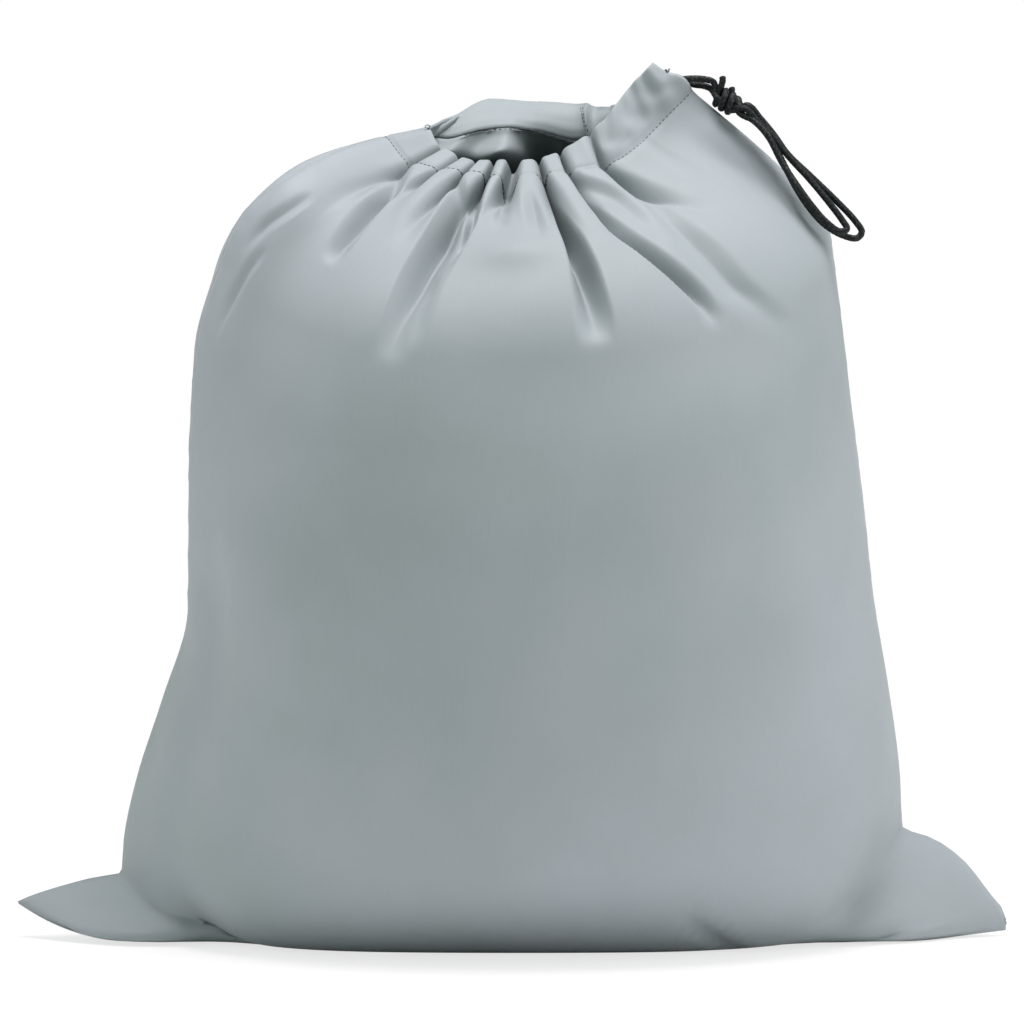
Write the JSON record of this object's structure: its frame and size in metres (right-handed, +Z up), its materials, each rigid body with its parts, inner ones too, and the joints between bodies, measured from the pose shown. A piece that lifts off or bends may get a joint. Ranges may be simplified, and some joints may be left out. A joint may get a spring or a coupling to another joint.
{
  "type": "filled drawstring storage sack",
  "caption": "Stuffed grey fabric drawstring sack that stands on its base, the bag a boat cover is stored in, with a gathered mouth and a knotted black drawcord.",
  "frame": {"origin": "middle of the cloth's box, on the surface that the sack stands on", "axes": "+X from the left ear of the base to the right one, towards the side where the drawcord leaves the mouth, +Y from the front panel to the back panel, +Z up"},
  "size_m": [0.4966, 0.2744, 0.4375],
  "materials": {
    "sack_cloth": "satin coated polyester",
    "braided_cord": "matt braid"
  },
  "bodies": {
    "root": {"front_panel": "sack_cloth", "back_panel": "sack_cloth", "cord_front_strand": "braided_cord", "cord_back_strand": "braided_cord", "cord_outer_loop": "braided_cord", "cord_inner_loop": "braided_cord", "cord_front_end": "braided_cord", "cord_back_end": "braided_cord", "cord_knot": "braided_cord"}
  },
  "joints": []
}
